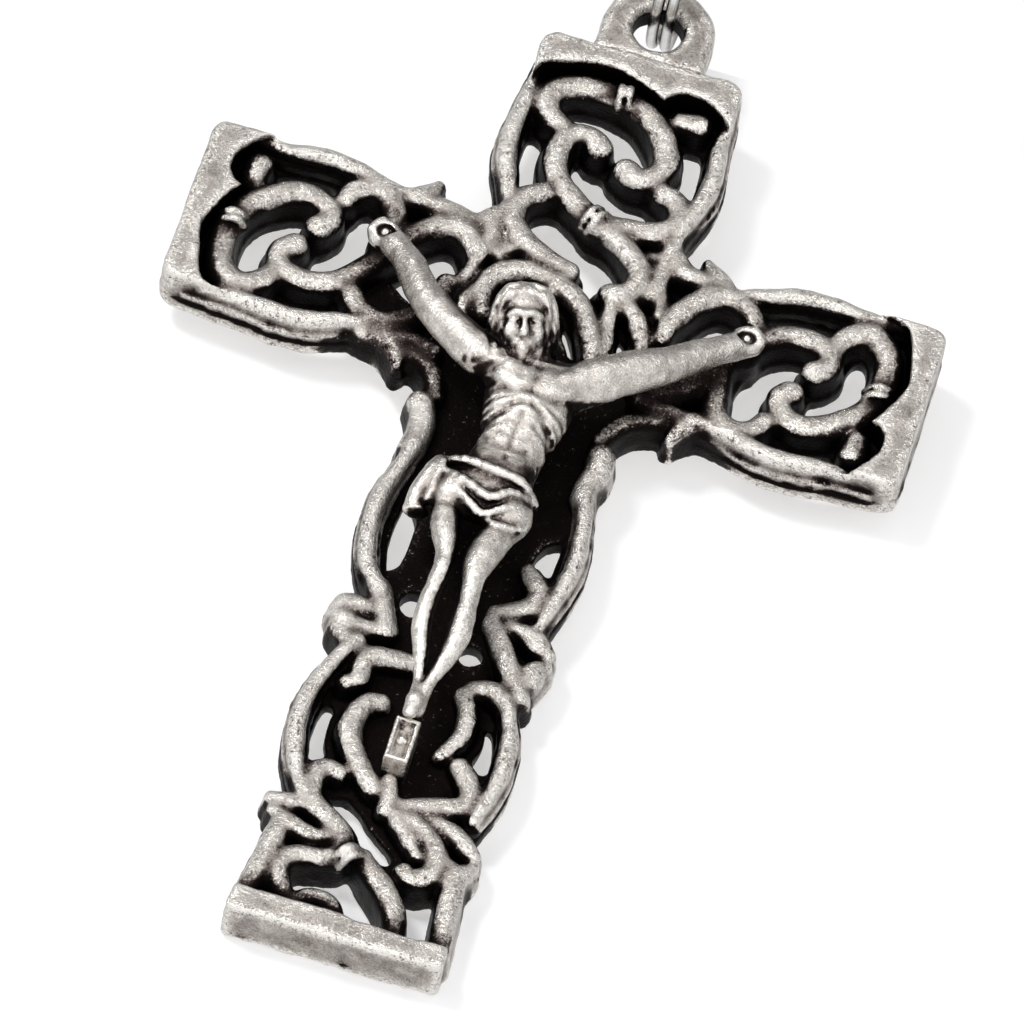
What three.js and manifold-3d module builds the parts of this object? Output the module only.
// A cast pewter crucifix pendant: an openwork scroll cross with a riveted figure, an eyelet and a
// split ring. Millimetres, +Z up. The origin is the inside top of the split ring, where the pendant
// hangs. The cross faces -Y and its flat back faces +Y.

import * as THREE from 'three';
import { mergeVertices } from 'three/addons/utils/BufferGeometryUtils.js';
import Module from 'manifold-3d';

const wasm = await Module();
wasm.setup();

// ---- Driving dimensions -----------------------------------------------------------------------

// Cross, in its own plane: x to the right, y along the upright, z out of the face from the back.
const SIDE_REACH = 17.4; // crossing centre to the end of a side arm
const TOP_REACH = 14.7; // crossing centre to the end of the top arm
const FOOT_REACH = 36.2; // crossing centre to the foot of the upright
const TOP_OFFSET = 0.3; // the top arm sits this far to the right of the upright's line
const BLOCK_HALF_WIDTH = 4.6; // half width of the plain end blocks
const BLOCK_THICKNESS = 2.45;
const FOOT_BLOCK_HALF_WIDTH = 4.95;
const FOOT_BLOCK_HEIGHT = 1.3;
const SCROLL_HEIGHT = 2.15; // top of the scrollwork above the back
const SCROLL_HALF_WIDTH = 0.45; // at the top of a scroll
const WEB_HALF_WIDTH = 0.6; // at its root, which is wider for draft
const SMALL_HALF_WIDTH = 0.5; // a small scroll has straight sides
const WEB_HEIGHT = 1.2;
const PANEL_HEIGHT = 0.9; // the solid floor behind the figure
const CURVE_STEP = 1.05; // distance between points along a scroll
const MIN_EDGE = 0.08; // shortest step along a scroll's edge

// Eyelet and split ring
const HOLE_RADIUS = 1.15;
const EYELET_BAR = 1.5; // radial width of metal round the hole, and its thickness
const EYELET_MIDDLE = 1.3; // height of its middle plane above the cross's back
const EYELET_X = 0.3;
const HOLE_ABOVE_ARM = 2.0; // hole centre above the end of the top arm
const WIRE_DIAMETER = 0.55;
const WIRE_PITCH = 0.66; // between the ring's two turns
const RING_RADIUS = 3.4; // to the middle of the wire
const WIRE_TO_BAR = 1.4; // middle of the wire to the middle of the eyelet's bar

// Figure and fastenings
const SHANK_RADIUS = 0.24;
const SHANK_CLEARANCE = 0.05;
const RIVET_HEAD_RADIUS = 0.4;
const RIVET_HEAD_HEIGHT = 0.25;
const REST_GAP = 0.05; // between pieces that touch
const LEFT_PALM = [-8.3, 0.6];
const RIGHT_PALM = [8.8, 0.55];
const PALM_TOP = 3.1;
const FOOTREST = { x: 0.03, y: -25.45, width: 1.12, height: 2.3, top: 2.85 };
const FOOTREST_RIM = 0.12;

const HOLE_Y = TOP_REACH + HOLE_ABOVE_ARM;
const BAR_Y = HOLE_Y + HOLE_RADIUS + EYELET_BAR / 2;
const RING_CENTRE_Z = -(RING_RADIUS - WIRE_DIAMETER / 2);
const SWING_AXIS_Z = RING_CENTRE_Z - RING_RADIUS + WIRE_TO_BAR;

// ---- Solids -----------------------------------------------------------------------------------

function solid(geometry) {
  const merged = mergeVertices(stripped(geometry), 1e-4);
  return new wasm.Manifold(new wasm.Mesh({
    numProp: 3,
    vertProperties: new Float32Array(merged.attributes.position.array),
    triVerts: new Uint32Array(merged.index.array),
  }));
}

function stripped(geometry) {
  geometry.deleteAttribute('normal');
  geometry.deleteAttribute('uv');
  return geometry;
}

function surface(manifold) {
  const mesh = manifold.getMesh();
  const geometry = new THREE.BufferGeometry();
  geometry.setAttribute('position', new THREE.BufferAttribute(mesh.vertProperties, 3));
  geometry.setIndex(new THREE.BufferAttribute(mesh.triVerts, 1));
  geometry.computeVertexNormals();
  return geometry;
}

function joined(manifolds) {
  return manifolds.reduce((whole, piece) => whole.add(piece));
}

// The biggest body, without the specks that a cut can leave.
function largest(manifold) {
  return manifold.decompose().reduce((a, b) => (b.volume() > a.volume() ? b : a));
}

function slab(shape, low, high) {
  const settings = { depth: high - low, bevelEnabled: false, curveSegments: 8 };
  return solid(new THREE.ExtrudeGeometry(shape, settings).translate(0, 0, low));
}

function post(x, y, radius, low, high, sides = 10) {
  const geometry = new THREE.CylinderGeometry(radius, radius, high - low, sides);
  return solid(geometry.rotateX(Math.PI / 2).translate(x, y, (low + high) / 2));
}

function polygon(points) {
  return new THREE.Shape(points.map(([x, y]) => new THREE.Vector2(x, y)));
}

// A band of even width about a smooth curve through the points, with round ends.
function ribbon(points, halfWidth) {
  const curve = new THREE.SplineCurve(points.map(([x, y]) => new THREE.Vector2(x, y)));
  const steps = Math.max(3, Math.round(curve.getLength() / CURVE_STEP));
  const left = [];
  const right = [];
  for (let i = 0; i <= steps; i += 1) {
    const centre = curve.getPointAt(i / steps);
    const along = curve.getTangentAt(i / steps);
    const side = new THREE.Vector2(-along.y, along.x).multiplyScalar(halfWidth);
    keepIfAhead(left, centre.clone().add(side), along);
    keepIfAhead(right, centre.clone().sub(side), along);
  }
  const start = roundEnd(right[0], left[0]);
  const end = roundEnd(left.at(-1), right.at(-1));
  return new THREE.Shape([...left, ...end, ...right.reverse(), ...start]);
}

// On the inside of a tight turn the edge would double back, so such points are passed over.
function keepIfAhead(edge, point, along) {
  const ahead = edge.length === 0 || point.clone().sub(edge.at(-1)).dot(along) > MIN_EDGE;
  if (ahead) edge.push(point);
}

// The points of a half circle that turns clockwise from one point to the other.
function roundEnd(from, to) {
  const centre = from.clone().add(to).multiplyScalar(0.5);
  return [1, 2].map((k) => from.clone().rotateAround(centre, (-Math.PI * k) / 3));
}

// A large scroll has a wide web at the back and a narrower raised band in front.
function largeScroll(points) {
  const web = slab(ribbon(points, WEB_HALF_WIDTH), 0, WEB_HEIGHT);
  return web.add(slab(ribbon(points, SCROLL_HALF_WIDTH), WEB_HEIGHT / 2, SCROLL_HEIGHT));
}

function smallScroll(points) {
  return slab(ribbon(points, SMALL_HALF_WIDTH), 0, SCROLL_HEIGHT);
}

// ---- The cross --------------------------------------------------------------------------------

// The scrollwork of one arm, drawn for the right arm: x outward, y upward. The other arms are
// quarter turns of it.
const LARGE_SCROLLS = [
  [[12.7, 2.8], [13.5, 3.5], [14.5, 3.5], [15.2, 2.8], [15.4, 1.7], [15.2, 0.4], [14.8, -0.7],
    [14, -1.7], [13, -2.35], [12, -2.4], [11.2, -1.95], [10.9, -1.2], [11.4, -0.55]],
  [[12.15, 0.6], [12.7, 1.2], [12.3, 2], [11.4, 2.3], [10.4, 2.1], [9.6, 1.65], [8.9, 0.9],
    [8.3, 0.1], [7.9, -0.5]],
];

const SMALL_SCROLLS = [
  [[10.7, -2.6], [10.3, -3.35], [9.5, -3.75], [8.7, -3.5], [8.25, -2.7], [8.1, -1.6], [8, -0.4]],
  [[14.9, -2.5], [14.9, -3.4], [14.3, -4.05], [12.4, -4.45], [10.3, -4.2], [8.6, -3.7],
    [7.3, -3.8], [6.7, -4.7]],
  [[13.8, 4.2], [12.5, 4.45], [11.2, 4.5], [9.9, 4.35], [8.7, 3.9], [7.6, 3.65], [6.5, 3.9],
    [6, 4.7]],
  [[8.3, 3.7], [8.5, 2.9], [8.4, 2.3]],
  [[8.45, 2.4], [7.6, 3.2], [6.8, 3.3], [6, 2.7], [5.4, 1.6], [5.2, 0.5]],
  [[7.9, -0.5], [7.4, -1.5], [6.6, -2.4], [5.7, -2.9], [4.8, -2.7], [4.2, -2]],
  [[7.2, -3.8], [5.6, -3.6], [4.4, -3.6]],
  [[6.6, 3.8], [5.4, 4], [4.4, 4.2]],
];

const CROSSING_SCROLLS = [
  [[-3.4, -1.4], [-3.5, 0], [-3.1, 1.2], [-2.1, 1.9], [-0.8, 1.9], [0.4, 1.3], [1.3, 0.4],
    [1.9, -0.7], [2.3, -2.2]],
  [[2.1, 1.9], [3.2, 1.5], [3.9, 0.6], [4.4, -0.5], [4.6, -1.8]],
  [[-4.3, 3], [-4.6, 1.6], [-4.7, 0.2], [-5.2, -1]],
  [[4.2, 2.1], [4.3, 3.1], [4.2, 4.3]],
  [[-7.6, -3.9], [-6.4, -4.2], [-5.3, -4.6], [-4.4, -5.6], [-4.2, -7.2], [-3.9, -8.8]],
  [[7.4, -3.8], [6.2, -4.1], [5.1, -4.6], [4.2, -5.7], [4.1, -7.2], [3.9, -8.8]],
];

const UPRIGHT_SCROLLS = [
  // first lobe
  [[-3.7, -8.6], [-4.3, -10.8], [-4.6, -13], [-4.4, -15.2], [-3.6, -17.1], [-2.7, -18.6],
    [-2.3, -19.8]],
  [[3.8, -8.6], [4.3, -10.8], [4.6, -13], [4.4, -15.2], [3.9, -16.8]],
  [[2.7, -14], [3.4, -14.9], [3.7, -15.7], [3.2, -16.3], [2.2, -16.6]],
  [[2.2, -17.3], [3, -18.6], [3.7, -19.8], [4.3, -21.6]],
  [[3.9, -16.8], [3.3, -17.4], [4.4, -18.2]],
  [[-2.7, -18.6], [-3.6, -18.9], [-4.4, -18.8]],
  [[-4.3, -19.8], [-3.2, -20.4], [-1.7, -20.6]],
  [[4.4, -19.2], [3.6, -19.5], [2.4, -20.4]],
  // second lobe
  [[-3.3, -20.4], [-4, -21.7], [-4.5, -23.4], [-4.6, -25.2], [-4.3, -27], [-3.7, -28.6]],
  [[2.1, -21], [3, -20.8], [3.8, -21.6], [4.4, -23.2], [4.5, -25], [4.3, -26.8], [3.9, -28.2]],
  [[-3.1, -22.4], [-2.1, -22.9], [-2.4, -24.4], [-2.1, -25.8], [-1.3, -27], [-0.2, -27.9]],
  [[1.8, -21.4], [2.3, -22.4], [2.4, -23.5], [1.7, -25]],
  [[2.7, -25.2], [3.5, -26], [3.6, -27], [2.4, -27.7], [1, -28.1], [0, -28.2]],
  // the foot
  [[-2.5, -27.5], [-3.3, -27.7], [-3.3, -28.8], [-2.4, -29.6], [-1.4, -30.3], [-0.8, -31.4]],
  [[0.9, -28.4], [2, -28.8], [3, -29.8], [3.2, -30.9], [2.4, -31.6]],
  [[1, -28.6], [1.8, -29.5], [2.4, -30.6]],
  [[-0.8, -31.4], [-2.2, -31.7], [-3.2, -32.4], [-3.3, -33.5], [-2.6, -34.2]],
  [[-0.6, -31.6], [0.6, -32.1], [1.7, -33], [2.3, -34.3], [2.3, -35]],
  [[-1.8, -30.6], [-3, -30.5], [-4.2, -30.2]],
  [[-4.3, -29.5], [-3.6, -28.6], [-3.9, -31], [-4.1, -33], [-4.3, -35]],
  [[4.2, -29.2], [3.2, -28.5], [2.4, -28.6]],
  [[3.1, -30.9], [4, -31.4], [4.2, -33], [4.3, -35]],
];

// A plain block closes an arm. Its inner edge is two scallops that meet in a cusp.
function endBlock() {
  const end = SIDE_REACH;
  const corner = 0.5;
  const shape = new THREE.Shape();
  shape.moveTo(13.6, 4.75);
  shape.lineTo(end - corner, BLOCK_HALF_WIDTH);
  shape.quadraticCurveTo(end, BLOCK_HALF_WIDTH, end, BLOCK_HALF_WIDTH - corner);
  shape.lineTo(end, corner - BLOCK_HALF_WIDTH);
  shape.quadraticCurveTo(end, -BLOCK_HALF_WIDTH, end - corner, -BLOCK_HALF_WIDTH);
  shape.lineTo(14.2, -4.75);
  shape.bezierCurveTo(16.1, -4.2, 16.2, -2.4, 15.3, -1.4);
  shape.bezierCurveTo(16.8, 0.2, 16.4, 3.9, 13.6, 4.75);
  return slab(shape, 0, BLOCK_THICKNESS);
}

function arm(quarterTurns, dx, dy) {
  const scrolls = [...LARGE_SCROLLS.map(largeScroll), ...SMALL_SCROLLS.map(smallScroll)];
  const whole = joined([endBlock(), ...scrolls]);
  return whole.rotate([0, 0, 90 * quarterTurns]).translate([dx, dy, 0]);
}

function footBlock() {
  const w = FOOT_BLOCK_HALF_WIDTH;
  const inner = FOOT_BLOCK_HEIGHT - FOOT_REACH;
  const points = [[-w, inner], [-w - 0.1, -FOOT_REACH + 0.3], [-w + 0.3, -FOOT_REACH],
    [w - 0.3, -FOOT_REACH], [w + 0.1, -FOOT_REACH + 0.3], [w, inner]];
  return slab(polygon(points), 0, BLOCK_THICKNESS);
}

// The floor behind the figure: it spreads under the shoulders and runs down the upright.
function panel() {
  const outline = [[-3.4, 1], [-1.2, 1.6], [0.2, 1], [1.2, -1.6], [4, -2.4], [7.8, -1.4],
    [7.6, -3.8], [5.2, -4.6], [4.2, -6], [4, -9], [2.6, -11], [2.6, -27.4], [1, -28], [-1, -28],
    [-2.4, -27], [-2.4, -16], [-2.6, -11], [-4, -9], [-4.3, -6], [-5.3, -4.6], [-7.8, -3.8],
    [-7.6, -1.6], [-4.4, -2.6], [-3.6, -1]];
  const floor = slab(polygon(outline), 0, PANEL_HEIGHT);
  const firstHole = post(-1.65, -17.1, 0.65, -1, PANEL_HEIGHT + 1);
  const secondHole = post(1.5, -18.9, 0.55, -1, PANEL_HEIGHT + 1);
  return floor.subtract(firstHole).subtract(secondHole);
}

function rivetHole([x, y], top) {
  return post(x, y, SHANK_RADIUS + SHANK_CLEARANCE, -1, top + 1);
}

function crossCasting() {
  const arms = [arm(0, 0, 0), arm(1, TOP_OFFSET, TOP_REACH - SIDE_REACH), arm(2, 0, 0)];
  const scrolls = [...CROSSING_SCROLLS, ...UPRIGHT_SCROLLS].map(smallScroll);
  const pads = [LEFT_PALM, RIGHT_PALM].map(([x, y]) => post(x, y, 0.9, 0, SCROLL_HEIGHT));
  const footPad = slab(restOutline(0.2), 0, PANEL_HEIGHT);
  const footrestSpace = slab(restOutline(REST_GAP), PANEL_HEIGHT, BLOCK_THICKNESS + 1);
  const holes = [LEFT_PALM, RIGHT_PALM, [FOOTREST.x, FOOTREST.y]];
  let whole = joined([...arms, footBlock(), panel(), ...scrolls, ...pads, footPad]);
  whole = whole.subtract(footrestSpace);
  holes.forEach((place) => {
    whole = whole.subtract(rivetHole(place, BLOCK_THICKNESS));
  });
  return surface(largest(whole));
}

// ---- The figure -------------------------------------------------------------------------------

function ball([x, y, z], [rx, ry, rz], tilt = 0) {
  const geometry = new THREE.SphereGeometry(1, 8, 6).scale(rx, ry, rz);
  return solid(geometry.rotateZ(tilt).translate(x, y, z));
}

// A tapered limb from one point to the next: a cone between two balls.
function limb(from, to, r1, r2) {
  const a = new THREE.Vector3(...from);
  const b = new THREE.Vector3(...to);
  const turn = new THREE.Quaternion().setFromUnitVectors(
    new THREE.Vector3(0, 1, 0),
    b.clone().sub(a).normalize(),
  );
  const cone = new THREE.CylinderGeometry(r2, r1, a.distanceTo(b), 8);
  cone.applyQuaternion(turn);
  cone.translate(...a.clone().add(b).multiplyScalar(0.5).toArray());
  return solid(cone).add(ball(to, [r2, r2, r2]));
}

function chain(points, radii) {
  const first = ball(points[0], [radii[0], radii[0], radii[0]]);
  const rest = points.slice(1).map((p, i) => limb(points[i], p, radii[i], radii[i + 1]));
  return joined([first, ...rest]);
}

function armsOfFigure() {
  const z = PALM_TOP;
  return [
    chain([[-8.3, 0.6, 2.7], [-7.2, -0.3, 3.1], [-5.7, -2.4, 3.6], [-3.8, -4.1, 3.8], [-1.8, -5.1, 3.7]],
      [0.42, 0.6, 0.75, 0.8, 1]),
    chain([[8.8, 0.5, 2.7], [7.6, -0.9, 3.1], [6.2, -2.2, 3.6], [4.4, -3.7, 3.8], [2.3, -5.1, 3.7]],
      [0.42, 0.6, 0.8, 0.85, 1]),
    ball([LEFT_PALM[0], LEFT_PALM[1], 2.65], [0.75, 0.75, z - 2.65]),
    ball([RIGHT_PALM[0], RIGHT_PALM[1], 2.65], [0.8, 0.75, z - 2.65]),
  ];
}

function bodyOfFigure() {
  return [
    ball([0.4, -6.2, 3.5], [2.1, 1.9, 1.35]),
    ball([0.4, -9, 3.5], [1.55, 2.6, 1.2]),
    ball([0.1, -12, 3.6], [2.1, 1.8, 1.4]),
    ball([-2.2, -12.2, 3.3], [0.65, 1.7, 0.8]),
    ball([-0.9, -3, 4], [1.6, 2.2, 1.5], 0.15),
  ];
}

function legsOfFigure() {
  return [
    chain([[-1.1, -13, 3.7], [-0.7, -17, 4.1], [-0.6, -19.2, 3.8], [0, -22.8, 3.3], [0, -24.2, 3.1]],
      [1, 0.7, 0.65, 0.5, 0.45]),
    chain([[1.2, -13, 3.7], [0.75, -16.9, 4.1], [0.9, -19.2, 3.8], [0.35, -22.6, 3.4], [0.1, -24, 3.3]],
      [1, 0.7, 0.7, 0.5, 0.45]),
  ];
}

function figure() {
  let whole = joined([...armsOfFigure(), ...bodyOfFigure(), ...legsOfFigure()]);
  const seat = SCROLL_HEIGHT + REST_GAP;
  const below = new THREE.BoxGeometry(40, 60, 10).translate(0, -10, seat - 5);
  whole = whole.subtract(solid(below));
  [LEFT_PALM, RIGHT_PALM].forEach(([x, y]) => {
    const sink = PALM_TOP - 0.25;
    whole = whole.subtract(rivetHole([x, y], PALM_TOP + 1));
    whole = whole.subtract(post(x, y, RIVET_HEAD_RADIUS + SHANK_CLEARANCE, sink, PALM_TOP + 1));
  });
  return surface(whole.subtract(slab(restOutline(REST_GAP), 0, 5)));
}

// ---- Footrest and rivets ----------------------------------------------------------------------

function restOutline(margin) {
  const w = FOOTREST.width / 2 + margin;
  const h = FOOTREST.height / 2 + margin;
  const { x, y } = FOOTREST;
  return polygon([[x - w, y - h], [x + w, y - h], [x + w, y + h], [x - w, y + h]]);
}

// A block with a raised frame round a sunk field.
function footrest() {
  const low = PANEL_HEIGHT + REST_GAP;
  const block = slab(restOutline(0), low, FOOTREST.top);
  const field = slab(restOutline(-FOOTREST_RIM), FOOTREST.top - 0.25, FOOTREST.top + 1);
  return surface(block.subtract(field).subtract(rivetHole([FOOTREST.x, FOOTREST.y], 4)));
}

// A round shank with a low domed head whose underside is at the given height.
function rivet(headBase) {
  const outline = [new THREE.Vector2(0, 0), new THREE.Vector2(SHANK_RADIUS, 0),
    new THREE.Vector2(SHANK_RADIUS, headBase), new THREE.Vector2(RIVET_HEAD_RADIUS, headBase)];
  for (let i = 1; i < 3; i += 1) {
    const angle = (i / 3) * (Math.PI / 2);
    const height = headBase + 0.05 + RIVET_HEAD_HEIGHT * Math.sin(angle);
    outline.push(new THREE.Vector2(RIVET_HEAD_RADIUS * Math.cos(angle), height));
  }
  outline.push(new THREE.Vector2(0, headBase + 0.05 + RIVET_HEAD_HEIGHT));
  const turned = new THREE.LatheGeometry(outline, 10).rotateX(Math.PI / 2);
  return surface(solid(turned));
}

// ---- Eyelet and split ring --------------------------------------------------------------------

// A flat tab with a round head and a round hole. Every edge is eased.
function eyelet() {
  const ease = 0.3;
  const outer = HOLE_RADIUS + EYELET_BAR - ease;
  const foot = TOP_REACH + REST_GAP + ease;
  const shape = new THREE.Shape();
  shape.moveTo(-outer, foot);
  shape.lineTo(outer, foot);
  shape.lineTo(outer, HOLE_Y);
  shape.absarc(0, HOLE_Y, outer, 0, Math.PI, false);
  shape.lineTo(-outer, foot);
  const hole = new THREE.Path();
  hole.absarc(0, HOLE_Y, HOLE_RADIUS + ease, 0, 2 * Math.PI, true);
  shape.holes.push(hole);
  const settings = {
    depth: EYELET_BAR - 2 * ease,
    bevelEnabled: true,
    bevelThickness: ease,
    bevelSize: ease,
    bevelSegments: 2,
    curveSegments: 16,
  };
  const geometry = new THREE.ExtrudeGeometry(shape, settings);
  return surface(solid(geometry.translate(EYELET_X, 0, EYELET_MIDDLE - EYELET_BAR / 2 + ease)));
}

// Two flat turns of wire joined by a short jog, with the two ends beside the jog.
class SplitRingCurve extends THREE.Curve {
  getPoint(t, target = new THREE.Vector3()) {
    const jog = 0.35;
    const angle = jog + t * (4 * Math.PI - 2 * jog);
    const shift = THREE.MathUtils.smoothstep(angle, 2 * Math.PI - jog, 2 * Math.PI + jog) - 0.5;
    const around = angle + Math.PI / 5;
    return target.set(
      WIRE_PITCH * shift,
      -RING_RADIUS * Math.sin(around),
      RING_RADIUS * Math.cos(around),
    );
  }
}

function splitRing() {
  const sides = 8;
  const section = new THREE.Shape();
  section.absarc(0, 0, WIRE_DIAMETER / 2, 0, 2 * Math.PI);
  const geometry = new THREE.ExtrudeGeometry(section, {
    steps: 56,
    curveSegments: sides / 2,
    bevelEnabled: false,
    extrudePath: new SplitRingCurve(),
  });
  return surface(solid(geometry.translate(0, 0, RING_CENTRE_Z)));
}

// ---- The assembly -----------------------------------------------------------------------------

const silver = new THREE.MeshStandardMaterial({ color: 0xb9b5ab, roughness: 0.42, metalness: 1 });
const bright = new THREE.MeshStandardMaterial({ color: 0xcac6bd, roughness: 0.34, metalness: 1 });
const steel = new THREE.MeshStandardMaterial({ color: 0xc4c4c2, roughness: 0.22, metalness: 1 });

function part(name, geometry, material) {
  const mesh = new THREE.Mesh(geometry, material);
  mesh.name = name;
  return mesh;
}

function rivetPart(name, [x, y], headBase) {
  const mesh = part(name, rivet(headBase), bright);
  mesh.position.set(x, y, 0);
  return mesh;
}

const crucifix = new THREE.Group();
crucifix.add(
  part('cross_casting', crossCasting(), silver),
  part('bail_eyelet', eyelet(), silver),
  part('corpus', figure(), bright),
  part('footrest', footrest(), bright),
  rivetPart('left_hand_rivet', LEFT_PALM, PALM_TOP - 0.2),
  rivetPart('right_hand_rivet', RIGHT_PALM, PALM_TOP - 0.2),
  rivetPart('footrest_rivet', [FOOTREST.x, FOOTREST.y], FOOTREST.top - 0.2),
);
crucifix.rotation.x = Math.PI / 2;
crucifix.position.set(-EYELET_X, EYELET_MIDDLE, SWING_AXIS_Z - BAR_Y);

const pendant = new THREE.Group();
pendant.add(part('split_ring', splitRing(), steel), crucifix);

export default pendant;
